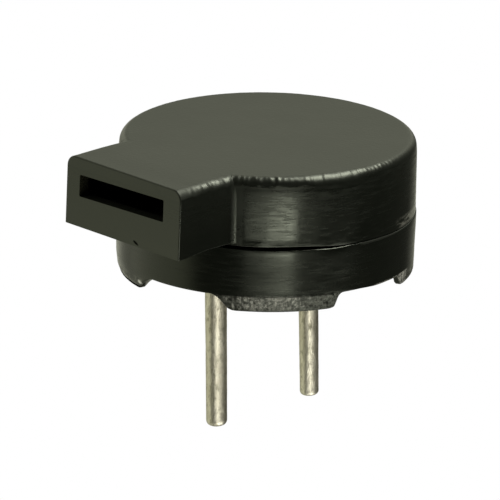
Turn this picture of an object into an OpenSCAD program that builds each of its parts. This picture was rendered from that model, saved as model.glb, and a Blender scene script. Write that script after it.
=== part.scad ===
// Round magnetic buzzer with a side sound port and two straight terminals.
// Millimetres. The origin is on the body's axis in the plane of the feet,
// +Z is up towards the closed top face, and the sound port looks along -Y.

/* [Body] */
// Outer diameter of the upper case and the base
body_d = 12; // [11.8:0.1:12.6]
// Height from the feet to the top face
body_h = 5.6; // [5.5:0.05:6]
// Height of the parting line between the base and the upper case
split_z = 2.75; // [2.69:0.02:2.85]
// Open height of the parting groove
groove_h = 0.1; // [0.04:0.02:0.16]
// Radius on the rim of the top face
rim_r = 0.36; // [0.1:0.02:0.42]

/* [Sound port] */
// Reach of the port's front face from the body's axis
port_reach = 7.92; // [7.4:0.02:8.6]
// Outside width of the port block
port_w = 6.68; // [6.2:0.06:7.16]
// How far the port's underside hangs below the case's lower edge
port_drop = 0.1; // [0.06:0.02:0.2]
// Width of the sound slot
slot_w = 4.9; // [3:0.1:5]
// Height of the sound slot
slot_h = 0.89; // [0.6:0.01:0.95]
// Wall above the sound slot
slot_roof = 0.59; // [0.52:0.01:0.66]
// Wall that the sound slot is cut through
face_t = 0.45; // [0.4:0.05:0.7]
// Radius on the port's upper side edges
port_top_r = 0.46; // [0.1:0.02:0.5]
// Radius on the port's lower side edges
port_low_r = 0.12; // [0.04:0.02:0.2]
// Radius of the fillet between port and body
port_fillet_r = 0.3; // [0.15:0.05:0.5]

/* [Feet] */
// Height of the feet
foot_h = 0.63; // [0.5:0.01:0.66]
// Radial thickness of the feet
foot_t = 0.32; // [0.3:0.02:0.6]
// Width of the notches between the feet
notch_w = 4; // [3:0.1:4.2]
// Bearing of the first notch, from the port towards +X
notch_a1 = 11; // [0:0.5:20]
// Bearing of the second notch, from the port towards +X
notch_a2 = 93.5; // [85:0.5:105]
// Fillet at the root of each foot
foot_root_r = 0.32; // [0.1:0.02:0.36]
// Rounding on the lower corners of each foot
foot_tip_r = 0.14; // [0.04:0.02:0.2]

/* [Terminals] */
// Diameter of the terminals
pin_d = 0.8; // [0.6:0.05:0.85]
// Distance between the terminals
pin_pitch = 5.08; // [5:0.02:5.2]
// Length of the port-side terminal below the feet
pin_front_len = 6.2; // [3:0.1:9]
// Length of the far terminal below the feet
pin_rear_len = 6.05; // [3.05:0.1:9.05]
// Size of the break on the terminal tips
pin_tip = 0.14; // [0.05:0.01:0.2]

/* [Drive] */
// Thickness of the base's floor
floor_t = 0.5; // [0.45:0.05:0.55]
// Thickness of the yoke plate
yoke_t = 0.5; // [0.4:0.05:0.5]
// Radius of the pole core
core_r = 1.1; // [0.9:0.05:1.15]
// Outer radius of the winding
coil_r = 1.9; // [1.5:0.05:1.9]
// Inner radius of the ring magnet
magnet_in_r = 3.3; // [3.2:0.05:3.8]
// Air gap between the pole core and the diaphragm
air_gap = 0.11; // [0.06:0.01:0.2]
// Thickness of the diaphragm
diaphragm_t = 0.05; // [0.04:0.01:0.08]
// Thickness of the armature disc
armature_t = 0.25; // [0.15:0.05:0.35]
// Radius of the armature disc
armature_r = 1.9; // [1.5:0.1:2.4]

/* [Hidden] */
$fn = 96;

e = 0.5;                          // overrun of the cutting shapes
body_r = body_d / 2;
bowl_r = body_r - 0.8;            // inside of the base's wall
spigot_r = bowl_r + 0.34;         // outside of the base's upstanding collar
spigot_z = split_z + 0.5;         // top of the collar, where the case sits
cavity_r = bowl_r + 0.1;          // sound chamber above the diaphragm
roof_t = 0.48;                    // thickness of the top face
floor_z = foot_h + floor_t;
yoke_z = floor_z + yoke_t;
ring_top = split_z + 0.36;        // seat of the diaphragm's edge
core_top = ring_top - air_gap;
coil_top = core_top - 0.1;
magnet_top = ring_top - 0.3;
ring_in_r = bowl_r - 0.6;
case_z = split_z + groove_h / 2;  // lower edge of the case
slot_z0 = body_h - slot_roof - slot_h;
duct_z0 = spigot_z + 0.08;        // floor of the hollow behind the slot
duct_w = port_w - 1;
pin_r = pin_d / 2;
stub_r = pin_r - 0.02;            // terminal inside the base
collar_r = pin_r + 0.1;           // anchoring collar in the floor
stub_top = yoke_z + 0.4;
lead_r = 0.06;                    // ends of the winding wire
lead_z = yoke_z + 0.24;
solder_r = pin_r + 0.12;
shell = [0.17, 0.17, 0.15];
tin = [0.72, 0.70, 0.62];
iron = [0.55, 0.56, 0.58];

// Rectangle between two corners
module span(x0, y0, x1, y1) translate([x0, y0]) square([x1 - x0, y1 - y0]);

// Turned ring of rectangular section
module ring(r0, r1, z0, z1) rotate_extrude() span(r0, z0, r1, z1);

// Section of the drum, with its rim rounded
module drum_section() {
    span(0, case_z, body_r, body_h - rim_r);
    span(0, case_z, body_r - rim_r, body_h);
    translate([body_r - rim_r, body_h - rim_r]) intersection() {
        circle(rim_r);
        square(rim_r);
    }
}

// Rounds off one corner of a rectangle: the waste outside a quarter circle
module corner_waste(r) difference() {
    square(r + e);
    circle(r);
}

// Front view of the port block
module port_section() {
    w = port_w / 2;
    z0 = case_z - port_drop;
    difference() {
        span(-w, z0, w, body_h);
        for (s = [-1, 1]) {
            scale([s, 1]) translate([w - port_top_r, body_h - port_top_r]) corner_waste(port_top_r);
            scale([s, -1]) translate([w - port_low_r, -z0 - port_low_r]) corner_waste(port_low_r);
        }
    }
}

// Plan of the fillet in the corner between the port and the drum.
// Its arc sinks a little into both walls, so that the edges cross cleanly.
module port_fillet() {
    reach = port_fillet_r - 0.012;
    cx = port_w / 2 + reach;
    cy = -sqrt(pow(body_r + reach, 2) - cx * cx);
    k = (body_r - 0.2) / (body_r + reach);
    difference() {
        polygon([[port_w / 2 - 0.3, cy], [cx, cy], [cx * k, cy * k],
                 [port_w / 2 - 0.3, cy * k]]);
        translate([cx, cy]) circle(port_fillet_r);
    }
}

module upper_case() color(shell) difference() {
    union() {
        rotate_extrude() drum_section();
        translate([0, -3, 0]) rotate([90, 0, 0]) linear_extrude(port_reach - 3) port_section();
        for (s = [0, 1]) mirror([s, 0, 0]) translate([0, 0, case_z + port_low_r])
            linear_extrude(body_h - case_z - port_low_r - port_top_r) port_fillet();
    }
    // clearance of the port's underside over the base
    translate([0, 0, split_z - e]) cylinder(r = body_r + 0.05, h = case_z - split_z + e);
    // skirt that drops over the base's collar
    translate([0, 0, split_z - e]) cylinder(r = spigot_r + 0.04, h = spigot_z - split_z + e);
    // sound chamber
    translate([0, 0, split_z - e]) cylinder(r = cavity_r, h = body_h - roof_t - split_z + e);
    // hollow of the port
    translate([-duct_w / 2, -port_reach + face_t, duct_z0])
        cube([duct_w, port_reach - face_t - cavity_r + 0.9, body_h - roof_t - duct_z0]);
    // sound slot
    translate([-slot_w / 2, -port_reach - e, slot_z0]) cube([slot_w, face_t + 2 * e, slot_h]);
}

// Section of the base without its feet
module base_section() {
    span(0, foot_h, body_r, floor_z);
    span(bowl_r, floor_z, body_r, split_z - groove_h / 2);
    span(bowl_r, floor_z, spigot_r, spigot_z);
}

// Side view of one notch between two feet
module notch_section() {
    w = notch_w / 2;
    difference() {
        span(-w, -e, w, foot_h);
        for (s = [-1, 1]) scale([s, 1])
            translate([w - foot_root_r, foot_h - foot_root_r]) corner_waste(foot_root_r);
    }
    for (s = [-1, 1]) scale([s, 1]) difference() {
        span(w - 0.01, -e, w + foot_tip_r, foot_tip_r);
        translate([w + foot_tip_r, foot_tip_r]) circle(foot_tip_r);
    }
}

// Bearings are measured from the port, towards +X
module at_bearing(a) rotate([0, 0, a]) children();

module base() color(shell) difference() {
    union() {
        rotate_extrude() base_section();
        difference() {
            ring(body_r - foot_t, body_r, 0, foot_h);
            for (a = [notch_a1, notch_a2, notch_a1 + 180, notch_a2 + 180])
                at_bearing(a) translate([0, -body_r + foot_t + e, 0])
                    rotate([90, 0, 0]) linear_extrude(foot_t + 2 * e) notch_section();
        }
    }
    for (s = [-1, 1]) translate([0, s * pin_pitch / 2, 0]) {
        cylinder(r = stub_r, h = floor_z);
        translate([0, 0, foot_h + 0.1]) cylinder(r = collar_r, h = floor_t);
    }
}

module diaphragm() color(iron)
    translate([0, 0, ring_top]) cylinder(r = bowl_r - 0.05, h = diaphragm_t);

module armature_disc() color([0.45, 0.45, 0.46])
    translate([0, 0, ring_top + diaphragm_t]) cylinder(r = armature_r, h = armature_t);

module support_ring() color([0.78, 0.66, 0.36])
    ring(ring_in_r, bowl_r - 0.02, yoke_z, ring_top);

module ring_magnet() color([0.24, 0.23, 0.22])
    ring(magnet_in_r, ring_in_r - 0.05, yoke_z, magnet_top);

// Winding with its two ends led out to the terminals
module coil() color([0.72, 0.40, 0.18]) {
    ring(core_r, coil_r, yoke_z, coil_top);
    for (s = [0, 1]) mirror([0, s, 0]) translate([0, -coil_r + 0.1, lead_z]) rotate([90, 0, 0])
        cylinder(r = lead_r, h = pin_pitch / 2 - stub_r - coil_r + 0.1 - 0.006, $fn = 24);
}

module pole_core() color(iron) {
    translate([0, 0, floor_z]) cylinder(r = core_r - 0.3, h = yoke_t);
    translate([0, 0, yoke_z]) cylinder(r = core_r, h = core_top - yoke_z);
}

module yoke_plate() color(iron) difference() {
    translate([0, 0, floor_z]) cylinder(r = bowl_r - 0.05, h = yoke_t);
    translate([0, 0, floor_z - e]) cylinder(r = core_r - 0.3, h = yoke_t + 2 * e);
    for (s = [-1, 1]) translate([0, s * pin_pitch / 2, floor_z - e])
        cylinder(r = pin_r + 0.3, h = yoke_t + 2 * e);
}

// Straight terminal with an anchoring collar inside the floor
module terminal(len) color(tin) {
    translate([0, 0, -len]) cylinder(r1 = pin_r - pin_tip, r2 = pin_r, h = pin_tip);
    translate([0, 0, pin_tip - len]) cylinder(r = pin_r, h = len - pin_tip + foot_h);
    translate([0, 0, foot_h + 0.1]) cylinder(r = collar_r, h = floor_t - 0.1);
    translate([0, 0, foot_h - 0.2]) cylinder(r = stub_r, h = stub_top - foot_h + 0.2);
}

module front_terminal() translate([0, -pin_pitch / 2, 0]) terminal(pin_front_len);

module rear_terminal() translate([0, pin_pitch / 2, 0]) terminal(pin_rear_len);

// Solder around each terminal's inner end and the winding's end
module solder_joints() color([0.80, 0.80, 0.80])
    for (s = [0, 1]) mirror([0, s, 0]) difference() {
        translate([0, -pin_pitch / 2, 0]) union() {
            translate([0, 0, yoke_z + 0.06]) cylinder(r = solder_r, h = stub_top - yoke_z - 0.16);
            translate([0, 0, stub_top - 0.1]) cylinder(r1 = solder_r, r2 = stub_r, h = 0.16);
        }
        translate([0, -pin_pitch / 2, floor_z]) cylinder(r = stub_r, h = stub_top - floor_z);
        translate([0, -coil_r + 0.1, lead_z]) rotate([90, 0, 0])
            cylinder(r = lead_r, h = pin_pitch / 2 - coil_r + 0.1, $fn = 24);
    }

upper_case();
base();
diaphragm();
armature_disc();
support_ring();
ring_magnet();
coil();
pole_core();
yoke_plate();
front_terminal();
rear_terminal();
solder_joints();
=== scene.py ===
"""Visual model of a round buzzer with a side sound port and two straight terminals.

Lengths are worked in millimetres and turned into metres when a mesh is finished.
Bearings are measured round the body from the sound port (-Y) towards +X.
"""
import math

import bmesh
import bpy
import numpy as np
from mathutils import Matrix, Vector, noise


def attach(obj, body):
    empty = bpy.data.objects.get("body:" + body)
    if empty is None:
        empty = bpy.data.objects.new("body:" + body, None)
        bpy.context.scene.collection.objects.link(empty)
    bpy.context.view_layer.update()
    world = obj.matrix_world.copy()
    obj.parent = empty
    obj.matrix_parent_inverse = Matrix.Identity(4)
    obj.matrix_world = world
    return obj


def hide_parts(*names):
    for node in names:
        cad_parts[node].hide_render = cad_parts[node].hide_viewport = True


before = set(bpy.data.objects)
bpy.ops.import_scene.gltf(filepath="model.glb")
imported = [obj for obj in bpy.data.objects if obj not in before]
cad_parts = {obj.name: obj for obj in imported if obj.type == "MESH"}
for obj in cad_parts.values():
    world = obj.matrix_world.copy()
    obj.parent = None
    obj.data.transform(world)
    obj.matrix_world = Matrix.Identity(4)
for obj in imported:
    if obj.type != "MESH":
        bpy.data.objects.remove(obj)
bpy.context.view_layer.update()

MM = 0.001
scene = bpy.context.scene

# ---------------------------------------------------------------- sizes, mm
R = 6.0            # body radius
H = 5.60           # top face above the feet
SPLIT = 2.75       # parting line
RIM = 0.36         # radius of the top face's edge
PORT_W = 3.34      # half width of the port block
PORT_Y = 7.87      # reach of the port block at its top
DRAFT = 0.085      # extra reach at its underside
PORT_R = 0.46      # radius of its upper side edges
PORT_Z = 2.72      # its underside
SLOT_X = 2.45      # half width of the slot
SLOT_Z0, SLOT_Z1 = 4.12, 5.01
FACE_T = 0.45      # wall that the slot is cut through
FOOT_H = 0.63
FOOT_T = 0.30      # radial thickness of the feet
BASE_R = 6.06      # the base stands a little proud of the case
PIN_Y = 2.54
AZ, EL, ROLL = (math.radians(v) for v in (46.4738, 18.0153, 0.9708))


# ---------------------------------------------------------------- helpers
def smoothstep(a, b, x):
    t = np.clip((np.asarray(x, float) - a) / (b - a), 0.0, 1.0)
    return t * t * (3.0 - 2.0 * t)


def grain(points, seed):
    """Gradient noise, -1 to 1, at each row of points."""
    off = Vector((seed * 7.31, seed * 3.17, seed * 5.71))
    flat = np.asarray(points, float).reshape(-1, 3)
    out = np.array([noise.noise(Vector(p) + off) for p in flat])
    return out.reshape(np.asarray(points).shape[:-1])


def wrap(a):
    """Angle in degrees brought to -180..180."""
    return (np.asarray(a, float) + 180.0) % 360.0 - 180.0


def make(name, verts, faces):
    me = bpy.data.meshes.new(name)
    me.from_pydata([tuple(v) for v in verts], [], faces)
    bm = bmesh.new()
    bm.from_mesh(me)
    bmesh.ops.recalc_face_normals(bm, faces=bm.faces)
    bm.to_mesh(me)
    bm.free()
    ob = bpy.data.objects.new(name, me)
    scene.collection.objects.link(ob)
    return ob


def loft(name, rings):
    """Closed solid through rings of equal length, with flat ends."""
    n = len(rings[0])
    verts = np.concatenate([np.asarray(r, float) for r in rings])
    faces = []
    for i in range(len(rings) - 1):
        a, b = i * n, (i + 1) * n
        for k in range(n):
            m = (k + 1) % n
            faces.append((a + k, a + m, b + m, b + k))
    faces.append(tuple(range(n)))
    faces.append(tuple(range((len(rings) - 1) * n, len(rings) * n)))
    return make(name, verts, faces)


def boolean(ob, other, how):
    mod = ob.modifiers.new("cut", "BOOLEAN")
    mod.operation, mod.solver, mod.object = how, "EXACT", other
    dg = bpy.context.evaluated_depsgraph_get()
    me = bpy.data.meshes.new_from_object(ob.evaluated_get(dg))
    old = ob.data
    ob.modifiers.clear()
    ob.data = me
    bpy.data.meshes.remove(old)
    bpy.data.objects.remove(other)


def finish_mesh(ob, sharp=32.0):
    """Tidy, scale to metres and set the shading."""
    me = ob.data
    bm = bmesh.new()
    bm.from_mesh(me)
    bmesh.ops.remove_doubles(bm, verts=bm.verts, dist=1e-4)
    bmesh.ops.dissolve_degenerate(bm, dist=1e-4, edges=bm.edges)
    bmesh.ops.holes_fill(bm, edges=[e for e in bm.edges if e.is_boundary], sides=0)
    bmesh.ops.recalc_face_normals(bm, faces=bm.faces)
    bm.to_mesh(me)
    bm.free()
    me.transform(Matrix.Scale(MM, 4))
    me.shade_smooth()
    me.set_sharp_from_angle(angle=math.radians(sharp))
    wn = ob.modifiers.new("even normals", "WEIGHTED_NORMAL")
    wn.mode, wn.weight, wn.keep_sharp = "FACE_AREA", 60, True
    return ob


def polar(r, deg, z):
    a = np.radians(deg)
    return np.stack(np.broadcast_arrays(r * np.sin(a), -r * np.cos(a), z), -1)


# ---------------------------------------------------------------- upper case
def groove(deg):
    """Open height of the parting line, widest on the port's side."""
    return 0.02 + 0.088 * (1.0 - smoothstep(52.0, 78.0, np.abs(wrap(deg))))


def dip(deg, depth):
    """The parting line hangs a little lower to one side of the port."""
    at = [10, 30, 44, 58, 66, 74, 92, 104, 150, 175]
    return sum(np.interp(wrap(deg) + d, at, depth) for d in np.linspace(-5.0, 5.0, 9)) / 9.0


CASE_DIP = [0, 0.045, 0.065, 0.05, 0.06, 0.12, 0.15, 0.19, 0.19, 0]
BASE_DIP = [0, 0.055, 0.09, 0.09, 0.13, 0.145, 0.16, 0.20, 0.20, 0]


EASE, TILT = 0.022, math.radians(82.5)


def case_wall(z, rr=RIM):
    """Outer radius of the drum: the wall eases into the rim."""
    low = H - rr + rr * math.cos(TILT) - 0.35
    return R - EASE * np.clip((z - low) / 0.35, 0.0, 1.0) ** 2


def drum():
    n = 1800
    deg = np.arange(n) * 360.0 / n
    rel = wrap(deg - math.degrees(AZ))
    rr = RIM + 0.11 * smoothstep(14.0, 22.0, rel) * smoothstep(42.0, 33.0, rel)   # one stretch is worn rounder
    rb = 0.018
    zb = SPLIT + 0.5 * groove(deg) - dip(deg, CASE_DIP)
    rc = R - EASE - rr * math.sin(TILT)
    rings = [polar(R - 1.2, deg, H), polar(rc - 0.04, deg, H)]
    # rim, with small dents that run across the edge
    for a in np.linspace(0.0, TILT, 14):
        t = a / TILT
        p = polar(R, deg, t * 0.18)
        burr = grain(p * 5.6, 2)
        d = 0.018 * grain(p * 2.2, 1) + 0.022 * burr
        d *= max(math.sin(math.pi * t), 0.0) ** 0.6
        d += 0.022 * np.maximum(burr - 0.12, 0.0) * math.exp(-((t - 0.27) / 0.16) ** 2)
        d *= 0.15 + 0.85 * smoothstep(66.0, 40.0, np.abs(rel))   # most of the wear is on one side
        d *= smoothstep(29.0, 32.0, np.abs(wrap(deg)))           # and none under the port block
        rings.append(polar(rc + (rr + d) * math.sin(a), deg, H - rr + (rr + d) * math.cos(a)))
    z1 = H - rr + rr * math.cos(TILT)
    for u in (0.2, 0.4, 0.6, 0.8, 1.0):
        z = z1 - 0.35 * u
        rings.append(polar(case_wall(z, rr), deg, z))
    for u in np.linspace(0.0, 1.0, 8)[1:-1]:
        rings.append(polar(R, deg, (z1 - 0.35) + u * (zb + rb - z1 + 0.35)))
    for t in np.linspace(0.0, 90.0, 5):
        a = math.radians(t)
        rings.append(polar(R - rb + rb * math.cos(a), deg, zb + rb - rb * math.sin(a)))
    rings += [polar(5.63, deg, zb), polar(5.58, deg, zb + 0.05), polar(5.58, deg, 3.25),
              polar(5.30, deg, 3.25), polar(5.30, deg, 5.02), polar(5.27, deg, 5.09),
              polar(5.20, deg, 5.12)]
    return loft("case_drum", rings)


def port_loop(inset=0.0):
    """Front view of the port block as a loop of (x, z)."""
    z0, rt, rl = PORT_Z, PORT_R, 0.03
    w, top, low = PORT_W - inset, H - inset, z0
    rt, rl = rt - inset, max(rl - inset, 0.02)
    half = [(x, low) for x in np.linspace(0.0, w - rl, 7)[:-1]]
    half += [(w - rl + rl * math.sin(a), low + rl - rl * math.cos(a)) for a in np.radians(np.linspace(0, 90, 7))]
    half += [(w, z) for z in np.linspace(low + rl, top - rt, 12)[1:-1]]
    half += [(w - rt + rt * math.cos(a), top - rt + rt * math.sin(a)) for a in np.radians(np.linspace(0, 90, 14))]
    half += [(x, top) for x in np.linspace(w - rt, 0.0, 9)[1:]]
    half = np.array(half)
    other = half[1:-1][::-1] * (-1.0, 1.0)
    return np.concatenate([half, other])


def port_block():
    rf = 0.06
    rings = []
    for t in np.radians(np.linspace(0, 90, 6)):
        q = port_loop(rf * (1.0 - math.sin(t)))
        y = -PORT_Y + rf * (1.0 - math.cos(t))
        rings.append(np.stack([q[:, 0], np.full(len(q), y), q[:, 1]], -1))
    q = port_loop()
    ys = list(np.arange(-PORT_Y + rf, -4.9, 0.021)[1:]) + [-4.8, -4.5, -4.2]
    # top edges take the same small dents as the rim
    nx = np.clip((np.abs(q[:, 0]) - (PORT_W - PORT_R)) / PORT_R, 0.0, 1.0)
    nz = np.clip((q[:, 1] - (H - PORT_R)) / PORT_R, 0.0, 1.0)
    edge = np.sqrt(2.0 * nx * nz) * np.where(q[:, 0] > 0.0, 1.0, 0.15)
    for y in ys:
        p = np.stack([q[:, 0] * 0.4, np.full(len(q), y), q[:, 1] * 0.4], -1)
        d = (0.028 * grain(p * 2.3, 3) + 0.022 * grain(p * 5.0, 4)) * edge
        d *= float(smoothstep(-PORT_Y + rf, -PORT_Y + 0.25, y))
        rings.append(np.stack([q[:, 0] + np.sign(q[:, 0]) * nx * d, np.full(len(q), y), q[:, 1] + nz * d], -1))
    # a little draft on the front face, and the top falls slightly towards it
    for r in rings:
        u = (r[:, 2] - PORT_Z) / (H - PORT_Z)
        k = smoothstep(-6.1, -7.8, r[:, 1])
        r[:, 2] += 0.14 * (1.0 - u) * smoothstep(-7.85, -6.2, r[:, 1])   # the underside rises towards the body
        r[:, 1] -= DRAFT * (1.0 - u) * smoothstep(-6.6, -7.8, r[:, 1])
        r[:, 2] -= 0.03 * u * k
    return loft("case_port", rings)


def fillet(side):
    """Concave strip in the corner between the port block and the drum."""
    rings = []
    for z, r in ((SPLIT + 0.10, 0.30), (H - 0.85, 0.30), (H - 0.66, 0.27), (H - 0.52, 0.20), (H - 0.42, 0.10),
                 (H - 0.36, 0.03)):
        k = r - 0.003
        cx = PORT_W + k
        cy = math.sqrt((float(case_wall(z)) + k) ** 2 - cx * cx)
        # the arc runs from the port's wall to the drum's wall, facing outwards
        end = math.atan2(cy, -cx)
        arc = np.linspace(math.pi, end, 14)
        pts = [(cx + r * math.cos(a), -cy + r * math.sin(a)) for a in arc]
        last = pts[-1]
        pts = [(PORT_W - 0.12, pts[0][1])] + pts + [(last[0] * 0.965, last[1] * 0.965), (PORT_W - 0.12, last[1] * 0.965)]
        rings.append(np.array([(side * x, y, z) for x, y in pts]))
    return loft("case_fillet", rings)


def slot_cutter():
    rings = []
    for y, g in ((-PORT_Y - 0.3, 0.012), (-PORT_Y - DRAFT, 0.012), (-PORT_Y + 0.03, 0.0),
                 (-PORT_Y + FACE_T + 0.2, 0.0)):
        w, z0, z1, r = SLOT_X + g, SLOT_Z0 - g, SLOT_Z1 + g, 0.05
        pts = []
        for cx, cz, a0 in ((w - r, z0 + r, -90), (w - r, z1 - r, 0), (-w + r, z1 - r, 90), (-w + r, z0 + r, 180)):
            pts += [(cx + r * math.cos(a), y, cz + r * math.sin(a)) for a in np.radians(np.linspace(a0, a0 + 90, 5))]
        pts = np.array(pts)
        # the slot sits a touch off centre and not quite level
        pts[:, 2] += 0.024 * pts[:, 0] - 0.075
        pts[:, 0] -= 0.10
        rings.append(pts)
    return loft("case_slot", rings)


def nick_cutter():
    """Small gouge low on the port's face."""
    a = np.radians(np.arange(24) * 15.0)
    rings = []
    for u in np.linspace(-1.0, 1.0, 15):
        k = math.sqrt(max(1.0 - u * u, 0.003))
        rings.append(np.stack([np.full(24, 0.83 + 0.16 * u), -PORT_Y - 0.94 * DRAFT + 0.07 * k * np.cos(a),
                               2.87 - 0.06 * u + 0.06 * k * np.sin(a)], -1))
    return loft("case_nick", rings)


def duct_cutter():
    """Hollow of the port block behind the slot, open to the sound chamber."""
    w, z0, z1, r = PORT_W - 0.50, 3.33, 5.10, 0.15
    rings = []
    for y in (-PORT_Y + FACE_T, -4.40):
        pts = []
        for cx, cz, a0 in ((w - r, z0 + r, -90), (w - r, z1 - r, 0), (-w + r, z1 - r, 90), (-w + r, z0 + r, 180)):
            pts += [(cx + r * math.cos(a), y, cz + r * math.sin(a)) for a in np.radians(np.linspace(a0, a0 + 90, 6))]
        rings.append(np.array(pts))
    return loft("case_duct", rings)


def plain_disc(name, r, z0, z1, n=360):
    deg = np.arange(n) * 360.0 / n
    return loft(name, [polar(r, deg, z0), polar(r, deg, z1)])


def upper_case():
    port = port_block()
    boolean(port, plain_disc("trim", 5.58, 2.0, 6.0), "DIFFERENCE")
    ob = drum()
    ob.name = "upper_case_shell"
    boolean(ob, port, "UNION")
    for s in (-1, 1):
        boolean(ob, fillet(s), "UNION")
    boolean(ob, duct_cutter(), "DIFFERENCE")
    boolean(ob, slot_cutter(), "DIFFERENCE")
    boolean(ob, nick_cutter(), "DIFFERENCE")
    return finish_mesh(ob)


# ---------------------------------------------------------------- base
def foot_edge(deg):
    """Height of the lower edge: 0 under a foot, FOOT_H in a notch."""
    high = np.array([1.0, 1.0, 0.97, 0.86, 0.68, 0.46, 0.28, 0.16, 0.08, 0.03, 0.0, 0.0]) * FOOT_H
    flared = [1.38, 1.48, 1.64, 1.82, 2.00, 2.11, 2.20, 2.28, 2.37, 2.50]
    sloped = [1.52, 1.61, 1.75, 1.90, 2.03, 2.12, 2.20, 2.28, 2.37, 2.50]
    upright = [1.60, 1.71, 1.80, 1.87, 1.92, 1.94, 1.96, 2.01, 2.10, 2.22]
    steep = [1.60, 1.71, 1.80, 1.87, 1.93, 1.97, 2.01, 2.09, 2.20, 2.33]
    z = np.zeros_like(deg)
    for c, before, after in ((10.85, flared, sloped), (93.6, upright, steep), (190.85, flared, sloped),
                             (273.6, upright, steep)):
        a = wrap(deg - c) * math.pi / 180.0 * R
        for arc, s in ((before, -1.0), (after, 1.0)):
            k = np.zeros_like(a)
            for d in np.linspace(-0.05, 0.05, 7):
                k += np.interp(s * a + d, [-1.0] + arc + [30.0], high) / 7.0
            z = np.where(s * a >= 0.0, np.maximum(z, k), z)
    # the edge is not quite level beside one foot
    rel = wrap(deg - math.degrees(AZ))
    z -= 0.06 * smoothstep(38.0, 50.0, rel) * smoothstep(70.0, 63.0, rel) * z / FOOT_H
    return z + 0.06 * smoothstep(64.0, 70.0, rel) * smoothstep(112.0, 100.0, rel) * (1.0 - z / FOOT_H)


def base_shell():
    n = 1440
    deg = np.arange(n) * 360.0 / n
    zt = SPLIT - 0.5 * groove(deg) - dip(deg, BASE_DIP)
    zf = foot_edge(deg)
    f = (FOOT_H - zf) / FOOT_H
    rel = wrap(deg - math.degrees(AZ))
    # edge radii: the side feet are rounded most, the parting edge is crisp but for two worn stretches
    right = smoothstep(48.0, 60.0, rel) * smoothstep(130.0, 115.0, rel)
    rb = 0.06 + 0.19 * f * smoothstep(34.0, 52.0, np.abs(wrap(deg - 52.0))) * (1.0 - 0.55 * right)
    rt = (0.015 + 0.145 * smoothstep(18.0, 26.0, rel) * smoothstep(35.0, 29.0, rel)
          + 0.035 * smoothstep(58.0, 68.0, rel) * smoothstep(115.0, 100.0, rel))
    ri = BASE_R - 0.09 - FOOT_T
    rings = [polar(4.7, deg, FOOT_H), polar(ri - 0.06, deg, FOOT_H), polar(ri, deg, FOOT_H - 0.05 * f),
             polar(ri + 0.01, deg, zf + 0.05 * f), polar(ri + 0.06, deg, zf)]

    def wall(z):
        """Outer radius: the wall draws in towards the feet's lower edge."""
        return BASE_R - 0.045 * smoothstep(2.5, 0.7, z) - 0.08 * smoothstep(0.85, -0.10, z) * (1.0 - 0.6 * right)

    # two feet are rubbed rough all over, the others only near the lower edge
    rubbed = 0.4 + 0.6 * smoothstep(46.0, 28.0, 90.0 - np.abs(np.abs(wrap(deg - 48.0)) - 90.0))

    def rough(r, z):
        p = polar(r, deg, z)
        d = 0.020 * grain(p * 6.0, 5) + 0.012 * grain(p * 13.0, 6)
        return d * smoothstep(FOOT_H + 0.06, FOOT_H - 0.04, z + 0.5 * (1.0 - rubbed)) * f * rubbed

    for r in (ri + 0.12, ri + 0.2):
        rings.append(polar(r, deg, zf + 0.4 * rough(r, zf)))
    for t in np.linspace(0.0, 90.0, 5):
        a = math.radians(t)
        z = zf + rb - rb * math.cos(a)
        r = wall(z) - rb + rb * math.sin(a)
        rings.append(polar(r + rough(R, z) * math.sin(a), deg, z))
    low, mid = zf + rb, FOOT_H + 0.16
    for u in np.linspace(0.0, 1.0, 15)[1:]:
        z = low + (mid - low) * u
        rings.append(polar(wall(z) + rough(R, z), deg, z))
    for u in np.linspace(0.0, 1.0, 9)[1:]:
        z = mid + (zt - rt - mid) * u
        rings.append(polar(wall(z), deg, z))
    for t in np.linspace(0.0, 90.0, 5)[1:]:
        a = math.radians(t)
        rings.append(polar(BASE_R - rt + rt * math.cos(a), deg, zt - rt + rt * math.sin(a)))
    rings += [polar(5.58, deg, zt), polar(5.54, deg, zt + 0.04), polar(5.54, deg, 3.20), polar(5.50, deg, 3.24),
              polar(5.20, deg, 3.24), polar(5.20, deg, 1.16), polar(5.15, deg, 1.12)]
    # the base sits a little askew under the case
    for r in rings[:-6]:
        slip = -0.035 - 0.005 * smoothstep(2.2, 0.4, r[:, 2])
        r[:, 0] += slip * math.cos(AZ)
        r[:, 1] += slip * math.sin(AZ)
    ob = loft("base_shell", rings)
    for s in (-1, 1):
        x, y = pin_axis(s, 0.8)
        hole = plain_disc("hole", 0.405, -0.5, 2.0, 64)
        hole.data.transform(Matrix.Translation((x, y, 0.0)))
        boolean(ob, hole, "DIFFERENCE")
    return finish_mesh(ob)


# ---------------------------------------------------------------- terminals
LEAN = {-1: (-0.175, -0.035), 1: (-0.155, 0.020)}   # sideways at the base and at the tip
LONG = {-1: 6.20, 1: 6.02}


def pin_axis(s, z):
    top, tip = LEAN[s]
    u = (FOOT_H - z) / (FOOT_H + LONG[s])
    d = top + (tip - top) * u
    return d * math.cos(AZ), s * PIN_Y + d * math.sin(AZ)


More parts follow.
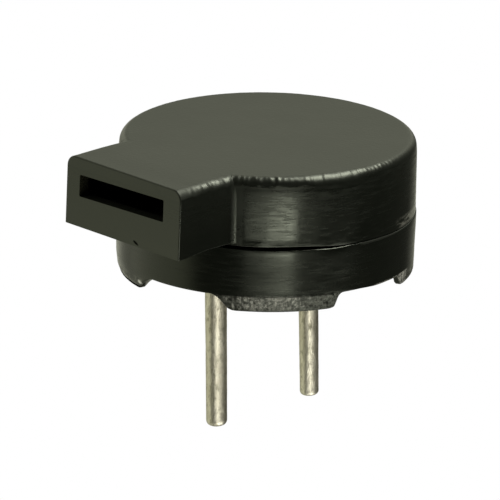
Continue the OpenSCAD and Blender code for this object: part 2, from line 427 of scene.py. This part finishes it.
def terminal(name, s, r_top, r_tip, seed, tip):
    n, long = 96, LONG[s]
    deg = np.arange(n) * 360.0 / n
    rings = []
    zs = [-long + tip * (1.0 - math.cos(a)) for a in np.radians(np.linspace(4, 90, 9))]
    zs += list(np.arange(-long + tip + 0.05, FOOT_H - 0.01, 0.05)) + [FOOT_H, 0.9, 1.13, 1.5, 1.98, 2.03]
    for z in zs:
        u = float(np.clip((FOOT_H - z) / (FOOT_H + long), 0.0, 1.0))
        r = r_top + (r_tip - r_top) * u
        if z < -long + tip:
            q = (z + long) / tip
            r -= 0.85 * tip * (1.0 - math.sqrt(max(0.0, 1.0 - (1.0 - q) ** 2)))
        if z > FOOT_H + 0.01:
            r = 0.38 if z < 2.0 else 0.34
        p = polar(0.9, deg, z * 0.7)
        d = 0.006 * grain(p * 1.6, seed) + 0.004 * grain(p * 4.5, seed + 1)
        d *= float(smoothstep(FOOT_H, FOOT_H - 0.3, z))
        x, y = pin_axis(s, z)
        ring = polar(r + d, deg, z)
        # the cut end is a little askew
        slant = 0.05 * float(smoothstep(-long + 0.45, -long, z))
        side = ring[:, 0] * math.cos(AZ) + ring[:, 1] * math.sin(AZ)
        ring[:, 2] += slant * side
        rings.append(ring + (x, y, 0.0))
    low = min(r[:, 2].min() for r in rings)
    for r in rings:
        r[:, 2] += (-long - low) * smoothstep(-long + 1.0, -long, r[:, 2])
    return finish_mesh(loft(name, rings), 50.0)


# ---------------------------------------------------------------- materials
class Tree:
    """Small helper round a node tree."""

    def __init__(self, tree):
        self.t = tree
        tree.nodes.clear()

    def add(self, kind, **props):
        node = self.t.nodes.new(kind)
        for k, v in props.items():
            setattr(node, k, v)
        return node

    def join(self, a, b):
        self.t.links.new(a, b)

    def value(self, socket, v):
        if hasattr(v, "is_output"):
            self.join(v, socket)
        else:
            socket.default_value = v

    def math(self, op, a, b=0.0, clamp=False):
        m = self.add("ShaderNodeMath", operation=op, use_clamp=clamp)
        self.value(m.inputs[0], a)
        self.value(m.inputs[1], b)
        return m.outputs[0]

    def place(self, scale):
        """Object coordinates in millimetres, stretched by scale."""
        c = self.add("ShaderNodeTexCoord")
        m = self.add("ShaderNodeVectorMath", operation="MULTIPLY")
        self.join(c.outputs["Object"], m.inputs[0])
        m.inputs[1].default_value = [s / MM for s in scale]
        return m.outputs[0]

    def xyz(self):
        s = self.add("ShaderNodeSeparateXYZ")
        self.join(self.place((1, 1, 1)), s.inputs[0])
        return s.outputs

    def normal(self):
        c = self.add("ShaderNodeTexCoord")
        s = self.add("ShaderNodeSeparateXYZ")
        self.join(c.outputs["Normal"], s.inputs[0])
        return s.outputs

    def noise(self, scale, detail=2.0, rough=0.55, size=1.0):
        n = self.add("ShaderNodeTexNoise")
        self.join(self.place(scale), n.inputs["Vector"])
        n.inputs["Scale"].default_value = size
        n.inputs["Detail"].default_value = detail
        n.inputs["Roughness"].default_value = rough
        return n.outputs["Fac"]

    def span(self, v, a, b, c=0.0, d=1.0, soft=True):
        m = self.add("ShaderNodeMapRange", interpolation_type="SMOOTHSTEP" if soft else "LINEAR")
        self.value(m.inputs["Value"], v)
        for k, x in zip(("From Min", "From Max", "To Min", "To Max"), (a, b, c, d)):
            m.inputs[k].default_value = x
        return m.outputs["Result"]

    def ramp(self, fac, stops):
        r = self.add("ShaderNodeValToRGB")
        el = r.color_ramp.elements
        while len(el) < len(stops):
            el.new(0.5)
        for e, (p, c) in zip(el, stops):
            e.position, e.color = p, (*c, 1.0)
        self.join(fac, r.inputs["Fac"])
        return r.outputs["Color"]

    def mix(self, fac, a, b):
        m = self.add("ShaderNodeMix", data_type="RGBA")
        self.value(m.inputs[0], fac)
        for s, v in ((m.inputs[6], a), (m.inputs[7], b)):
            self.value(s, v if hasattr(v, "is_output") else (*v, 1.0))
        return m.outputs[2]

    def bump(self, height, depth, under=None):
        b = self.add("ShaderNodeBump")
        b.inputs["Strength"].default_value = 1.0
        b.inputs["Distance"].default_value = depth * MM
        self.join(height, b.inputs["Height"])
        if under:
            self.join(under, b.inputs["Normal"])
        return b.outputs["Normal"]


def material(name):
    m = bpy.data.materials.new(name)
    m.use_nodes = True
    t = Tree(m.node_tree)
    out = t.add("ShaderNodeOutputMaterial")
    p = t.add("ShaderNodeBsdfPrincipled")
    t.join(p.outputs[0], out.inputs["Surface"])
    return m, t, p.inputs


def seam_scuff(t, nx, ny, z):
    """Mask of a pale rubbed patch along the parting line, on one side of the body."""
    b = math.radians(118.0)
    face = t.math("ADD", t.math("MULTIPLY", nx, math.sin(b)), t.math("MULTIPLY", ny, -math.cos(b)))
    near = t.span(t.math("ABSOLUTE", t.math("SUBTRACT", z, SPLIT + 0.05)), 0.28, 0.08)
    mottle = t.span(t.noise((1.5, 1.5, 6.0), 3.0), 0.36, 0.60)
    return t.math("MULTIPLY", t.math("MULTIPLY", near, mottle), t.span(face, 0.975, 0.993))


def case_material():
    m, t, p = material("case_plastic")
    x, y, z = t.xyz()
    nx, ny, nz = t.normal()
    up = t.span(nz, 0.86, 0.995)
    rim = t.span(nz, 0.10, 0.30)
    drum_wall = t.math("MULTIPLY", t.span(t.math("SQRT", t.math("ADD", t.math("MULTIPLY", x, x), t.math("MULTIPLY", y, y))),
                                          6.15, 6.02), t.math("SUBTRACT", 1.0, rim))
    cloud = t.noise((0.45, 0.45, 0.45), 3.0)
    streaks = t.noise((1.3, 1.3, 9.0), 3.0, 0.6)
    # drawn streaks show on the round wall and hardly elsewhere
    dash = t.math("ADD", 0.5, t.math("MULTIPLY", t.math("SUBTRACT", streaks, 0.5), t.span(drum_wall, 0.0, 1.0, 0.25, 1.0)))
    bars = t.noise((2.6, 2.6, 0.25), 2.0)
    fine = t.noise((17, 17, 17), 2.0)
    col = t.ramp(cloud, [(0.30, (0.0034, 0.0042, 0.0031)), (0.70, (0.0056, 0.0064, 0.0048))])
    col = t.mix(t.math("MULTIPLY", t.span(dash, 0.52, 0.75), 0.20), col, (0.016, 0.018, 0.014))
    # painted light: the slot's short end walls are painted pale, as if lit from the front
    cut = t.math("MULTIPLY", t.span(t.math("ABSOLUTE", nx), 0.80, 0.95),
                 t.math("MULTIPLY", t.span(t.math("ABSOLUTE", x), 2.75, 2.65), t.span(y, -7.36, -7.44)))
    col = t.mix(cut, col, (0.013, 0.013, 0.008))
    t.join(t.mix(seam_scuff(t, nx, ny, z), col, (0.12, 0.12, 0.10)), p["Base Color"])
    # the wall is smoothest low down, the edges and the top are matte
    wall_r = t.math("ADD", t.span(dash, 0.34, 0.68, 0.10, 0.29, soft=False),
                    t.span(z, 3.1, 5.1, 0.0, 0.12, soft=False))
    top_r = t.span(cloud, 0.30, 0.70, 0.56, 0.60, soft=False)
    # duller still at the port's front corners and in the corners beside the port
    corner = t.math("SQRT", t.math("ADD", t.math("POWER", t.math("SUBTRACT", t.math("ABSOLUTE", x), 3.50), 2.0),
                                   t.math("POWER", t.math("ADD", y, 4.98), 2.0)))
    wall_r = t.math("ADD", wall_r, t.span(corner, 0.29, 0.19, 0.0, 0.13))
    edge_r = t.math("MAXIMUM", wall_r, t.math("MULTIPLY", rim, t.span(y, -6.3, -7.6, 0.39, 0.58)))
    t.join(t.math("ADD", t.math("MULTIPLY", edge_r, t.math("SUBTRACT", 1.0, up)), t.math("MULTIPLY", top_r, up)),
           p["Roughness"])
    # the walls are crowned very slightly, towards the top and at the lower edge
    rise = t.span(z, 3.35, 5.15, soft=False)
    drop = t.span(z, 3.35, 2.85, 0.0, 0.33, soft=False)
    n0 = t.bump(t.math("SUBTRACT", 1.0, t.math("ADD", t.math("MULTIPLY", rise, rise), t.math("MULTIPLY", drop, drop))),
                0.049)
    n1 = t.bump(t.math("MULTIPLY", t.noise((7.0, 7.0, 7.0), 2.0), up), 0.006, t.bump(fine, 0.0012, n0))
    n2 = t.bump(t.math("MULTIPLY", dash, drum_wall), 0.0015, n1)
    t.join(t.bump(t.math("MULTIPLY", bars, drum_wall), 0.003, n2), p["Normal"])
    p["IOR"].default_value = 1.5
    p["Specular Tint"].default_value = (0.93, 1.0, 0.80, 1.0)
    return m


def base_material():
    m, t, p = material("base_plastic")
    x, y, z = t.xyz()
    foot = t.span(z, FOOT_H + 0.05, FOOT_H - 0.03)
    nx, ny, nz = t.normal()
    # pale sandy grit on the feet: partly real rubbed wear, partly painted highlight where the feet face the front
    # lamps, in patches and at one foot's end
    face = t.math("ABSOLUTE", t.math("ADD", t.math("MULTIPLY", nx, math.sin(math.radians(46))),
                                     t.math("MULTIPLY", ny, -math.cos(math.radians(46)))))
    cloud = t.noise((0.5, 0.5, 0.5), 3.0)
    patch = t.noise((2.2, 2.2, 3.4), 2.0)
    streak = t.noise((1.1, 1.1, 9.0), 3.0, 0.6)
    sand = t.noise((5.4, 5.4, 7.0), 3.0, 0.72)
    mid = t.math("ABSOLUTE", t.math("ADD", t.math("MULTIPLY", nx, math.sin(math.radians(48.5))),
                                    t.math("MULTIPLY", ny, -math.cos(math.radians(48.5)))))
    # pale zone lightest where a foot faces the camera's side: painted highlight over real wear, fading towards the
    # lower edge
    wear_and_sheen = t.math("MULTIPLY", t.math("MAXIMUM", t.span(mid, 0.955, 0.9965), t.span(mid, 0.86, 0.93, 0.0, 0.20)),
                  t.span(z, 0.03, 0.24, 0.30, 1.0))
    low = t.span(z, 0.60, 0.18)
    gritty = t.math("MULTIPLY", foot, t.math("MAXIMUM", t.span(face, 0.85, 0.96), t.math("MULTIPLY", low, 0.5)))
    # pale patches on the side feet: partly real specks, partly painted glints
    specks_and_glints = t.math("MULTIPLY", t.span(patch, 0.46, 0.62, 0.08, 0.70), t.math("MULTIPLY", t.span(face, 0.72, 0.58), low))
    # painted highlight at the end of one foot
    side = t.span(t.math("ADD", t.math("MULTIPLY", x, math.sin(math.radians(106)) / R),
                         t.math("MULTIPLY", y, -math.cos(math.radians(106)) / R)), 0.965, 0.985, 0.0, 0.95)
    # the pale foot colour: real grit wear and painted highlights together
    rubbed = t.math("MULTIPLY", foot, t.math("MAXIMUM", wear_and_sheen, t.math("MAXIMUM", specks_and_glints, side)))
    col = t.ramp(cloud, [(0.30, (0.0034, 0.0042, 0.0031)), (0.70, (0.0054, 0.0062, 0.0046))])
    grit = t.ramp(sand, [(0.38, (0.032, 0.032, 0.029)), (0.65, (0.34, 0.335, 0.292))])
    col = t.mix(rubbed, col, grit)
    col = t.mix(seam_scuff(t, nx, ny, z), col, (0.12, 0.12, 0.10))
    # painted highlight: a small pale spot at the end of one foot stands for a glint
    painted_glint_dist = t.add("ShaderNodeVectorMath", operation="DISTANCE")
    t.join(t.place((1, 1, 1.6)), painted_glint_dist.inputs[0])
    painted_glint_dist.inputs[1].default_value = (-1.120, -5.776, 0.51)
    t.join(t.mix(t.span(painted_glint_dist.outputs["Value"], 0.21, 0.11), col, (0.80, 0.80, 0.74)), p["Base Color"])
    wall_r = t.span(streak, 0.32, 0.70, 0.165, 0.30, soft=False)
    # the parting edge is dull except for one worn stretch
    b = AZ + math.radians(28.0)
    glint = t.span(t.math("ADD", t.math("MULTIPLY", x, math.sin(b) / R), t.math("MULTIPLY", y, -math.cos(b) / R)),
                   0.982, 0.994)
    beside = t.span(t.math("ADD", t.math("MULTIPLY", x, math.sin(math.radians(106)) / R),
                           t.math("MULTIPLY", y, -math.cos(math.radians(106)) / R)), 0.80, 0.86)
    top_edge = t.math("MAXIMUM", t.span(z, SPLIT - 0.16, SPLIT - 0.08),
                      t.math("MULTIPLY", t.span(z, SPLIT - 0.29, SPLIT - 0.22), beside))
    dull = t.math("MULTIPLY", top_edge, t.math("SUBTRACT", 1.0, glint))
    t.join(t.math("ADD", wall_r, t.math("MAXIMUM", t.math("MULTIPLY", gritty, 0.16), t.math("MULTIPLY", dull, 0.42))),
           p["Roughness"])
    n1 = t.bump(t.math("MULTIPLY", sand, t.math("ADD", 0.05, gritty)), 0.018)
    t.join(t.bump(streak, 0.0021, n1), p["Normal"])
    p["IOR"].default_value = 1.42
    p["Specular Tint"].default_value = (0.93, 1.0, 0.80, 1.0)
    return m


def tin_material():
    m, t, p = material("terminal_tin")
    cloud = t.noise((1.3, 1.3, 0.8), 4.0, 0.6)
    fleck = t.noise((6.0, 6.0, 3.2), 3.0, 0.65)
    spot = t.noise((2.4, 2.4, 1.7), 2.0)
    col = t.ramp(cloud, [(0.32, (0.50, 0.47, 0.362)), (0.68, (0.69, 0.66, 0.537))])
    col = t.mix(t.math("MULTIPLY", t.span(fleck, 0.48, 0.68), 0.62), col, (0.24, 0.225, 0.155))
    col = t.mix(t.math("MULTIPLY", t.span(spot, 0.66, 0.76), 0.7), col, (0.15, 0.14, 0.09))
    t.join(col, p["Base Color"])
    p["Metallic"].default_value = 0.85
    t.join(t.span(fleck, 0.32, 0.66, 0.32, 0.46, soft=False), p["Roughness"])
    n1 = t.bump(fleck, 0.020)
    t.join(t.bump(cloud, 0.03, n1), p["Normal"])
    return m


def inner_material(name, dark, light, metal, r0, r1, grain_scale, depth):
    m, t, p = material(name)
    f = t.noise(grain_scale, 3.0, 0.6)
    t.join(t.ramp(f, [(0.30, dark), (0.70, light)]), p["Base Color"])
    t.join(t.span(f, 0.3, 0.7, r0, r1, soft=False), p["Roughness"])
    p["Metallic"].default_value = metal
    t.join(t.bump(f, depth), p["Normal"])
    return m


def paint(ob, mat):
    ob.data.materials.clear()
    ob.data.materials.append(mat)


# ---------------------------------------------------------------- the object
shell = upper_case()
foot = base_shell()
front = terminal("front_pin", -1, 0.448, 0.424, 11, 0.23)
rear = terminal("rear_pin", 1, 0.418, 0.383, 17, 0.17)
tin = tin_material()
for ob, node, slot, mat in ((shell, "upper_case", "case_plastic", case_material()),
                            (foot, "base", "base_plastic", base_material()),
                            (front, "front_terminal", "terminal_tin", tin),
                            (rear, "rear_terminal", "terminal_tin", tin)):
    paint(ob, mat)
    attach(ob, "root")
    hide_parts(node)

INNER = {
    "diaphragm": ("diaphragm_steel", (0.42, 0.41, 0.39), (0.58, 0.57, 0.55), 1.0, 0.26, 0.36, (0.8, 9, 9), 0.003),
    "armature_disc": ("armature_steel", (0.30, 0.30, 0.30), (0.44, 0.44, 0.45), 1.0, 0.34, 0.46, (2, 14, 14), 0.004),
    "pole_core": ("core_iron", (0.32, 0.32, 0.33), (0.48, 0.48, 0.50), 1.0, 0.32, 0.44, (3, 3, 12), 0.004),
    "yoke_plate": ("yoke_iron", (0.34, 0.34, 0.35), (0.50, 0.50, 0.52), 1.0, 0.30, 0.44, (1, 10, 10), 0.004),
    "support_ring": ("ring_plastic", (0.52, 0.40, 0.17), (0.66, 0.52, 0.26), 0.0, 0.40, 0.54, (4, 4, 4), 0.006),
    "ring_magnet": ("magnet_ferrite", (0.030, 0.029, 0.028), (0.066, 0.063, 0.060), 0.0, 0.58, 0.74, (6, 6, 6), 0.012),
    "coil": ("coil_copper", (0.46, 0.17, 0.06), (0.66, 0.30, 0.12), 1.0, 0.24, 0.36, (0.7, 0.7, 15), 0.020),
    "solder_joints": ("solder", (0.56, 0.56, 0.56), (0.76, 0.76, 0.75), 1.0, 0.20, 0.36, (5, 5, 5), 0.012),
}
for node, args in INNER.items():
    paint(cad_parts[node], inner_material(*args))


# ---------------------------------------------------------------- stage
def towards(side, up):
    """Unit vector from the object, in degrees right of the camera and above the horizon."""
    b, e = AZ + math.radians(side), math.radians(up)
    return Vector((math.sin(b) * math.cos(e), -math.cos(b) * math.cos(e), math.sin(e)))


me = bpy.data.meshes.new("floor")
me.from_pydata([(-1, -1, 0), (1, -1, 0), (1, 1, 0), (-1, 1, 0)], [], [(0, 1, 2, 3)])
floor = bpy.data.objects.new("floor", me)
scene.collection.objects.link(floor)
floor.location = (0, 0, -LONG[-1] * MM)
floor_mat = bpy.data.materials.new("floor_white")
floor_mat.use_nodes = True
t = Tree(floor_mat.node_tree)
out = t.add("ShaderNodeOutputMaterial")
glow = t.add("ShaderNodeEmission")
glow.inputs["Color"].default_value = (1.0, 1.0, 1.0, 1.0)
glow.inputs["Strength"].default_value = 1.0
t.join(glow.outputs[0], out.inputs["Surface"])
paint(floor, floor_mat)
# a backdrop for the camera only: the room below lights the object
floor.visible_diffuse = floor.visible_glossy = floor.visible_transmission = floor.visible_shadow = False

world = bpy.data.worlds.new("studio")
scene.world = world
world.use_nodes = True
t = Tree(world.node_tree)
out = t.add("ShaderNodeOutputWorld")
c = t.add("ShaderNodeTexCoord")


def facing(v, a, b):
    d = t.add("ShaderNodeVectorMath", operation="DOT_PRODUCT")
    t.join(c.outputs["Generated"], d.inputs[0])
    d.inputs[1].default_value = v
    return t.span(d.outputs["Value"], a, b)


above = facing(Vector((0, 0, 1)), -0.12, 0.10)
overhead = facing(Vector((0, 0, 1)), 0.88, 0.60)
side_card = t.math("ADD", t.math("MULTIPLY", facing(towards(-125, -14), 0.34, 0.54), 0.37),
                   t.math("ADD", t.math("MULTIPLY", facing(towards(-95, -14), 0.80, 0.92), 0.36),
                          t.math("MULTIPLY", facing(towards(180, -18), 0.80, 0.99), 0.26)))
back_card = t.math("MULTIPLY", t.math("MULTIPLY", facing(towards(-142, 20), 0.30, 0.68), overhead), 0.88)
room = t.add("ShaderNodeBackground")
room.inputs["Color"].default_value = (0.99, 1.0, 0.80, 1.0)
t.join(t.math("ADD", t.math("ADD", 0.05, t.math("MULTIPLY", side_card, t.math("SUBTRACT", 1.0, above))),
              t.math("MULTIPLY", back_card, above)), room.inputs["Strength"])
back = t.add("ShaderNodeBackground")
back.inputs["Color"].default_value = (1.0, 1.0, 1.0, 1.0)
path = t.add("ShaderNodeLightPath")
mix = t.add("ShaderNodeMixShader")
t.join(path.outputs["Is Camera Ray"], mix.inputs[0])
t.join(room.outputs[0], mix.inputs[1])
t.join(back.outputs[0], mix.inputs[2])
t.join(mix.outputs[0], out.inputs["Surface"])


def softbox(name, side, up, far, wide, high, level, colour=(1.0, 0.99, 0.94)):
    """Area light of a given brightness, facing the object."""
    light = bpy.data.lights.new(name, "AREA")
    light.shape, light.size, light.size_y = "RECTANGLE", wide, high
    light.energy = math.pi * wide * high * level
    light.color = colour
    ob = bpy.data.objects.new(name, light)
    scene.collection.objects.link(ob)
    d = towards(side, up)
    ob.location = Vector((0, 0, 0.0027)) + d * far
    ob.rotation_mode = "QUATERNION"
    ob.rotation_quaternion = d.to_track_quat("Z", "Y")
    ob.visible_camera = False
    return ob


def front_card(name, left, right, level, up=-15.5, high=0.0225):
    """Low card in front, between two angles from the camera's direction."""
    softbox(name, 0.5 * (left + right), up, 0.16, 0.32 * math.tan(math.radians(0.5 * (right - left))), high, level)


front_card("card_wide", -14, 20.5, 2.0)
front_card("card_right", 20.5, 40, 0.46)
front_card("card_mid", 2, 20.5, 3.4)
front_card("card_edge", 12.5, 20.5, 3.9)
front_card("card_far", 40, 72, 0.10)
softbox("low_strip", 31, -51, 0.16, 0.20, 0.12, 3.3)
softbox("right_lamp", 112, 64, 0.25, 0.155, 0.102, 18.0)

cam = bpy.data.cameras.new("camera")
cam_ob = bpy.data.objects.new("camera", cam)
scene.collection.objects.link(cam_ob)
scene.camera = cam_ob
PX = 24820.0                       # pixels to a metre at the object, in a 500 pixel picture
back_v = towards(0.0, math.degrees(EL))
right_v = Vector((math.cos(AZ), math.sin(AZ), 0.0))
up_v = back_v.cross(right_v)
r_v = right_v * math.cos(ROLL) + up_v * math.sin(ROLL)
u_v = -right_v * math.sin(ROLL) + up_v * math.cos(ROLL)
place = Vector((0, 0, 0.0027)) + back_v * 0.4 + r_v * ((250 - 266.95) / PX) + u_v * ((202.5 - 250) / PX)
cam_ob.matrix_world = Matrix((r_v, u_v, back_v)).transposed().to_4x4()
cam_ob.location = place
cam.sensor_width = 36.0
cam.lens = PX * 0.4 * 36 / 500
cam.clip_start, cam.clip_end = 0.01, 5.0

scene.view_settings.view_transform = "Standard"
scene.view_settings.look = "None"
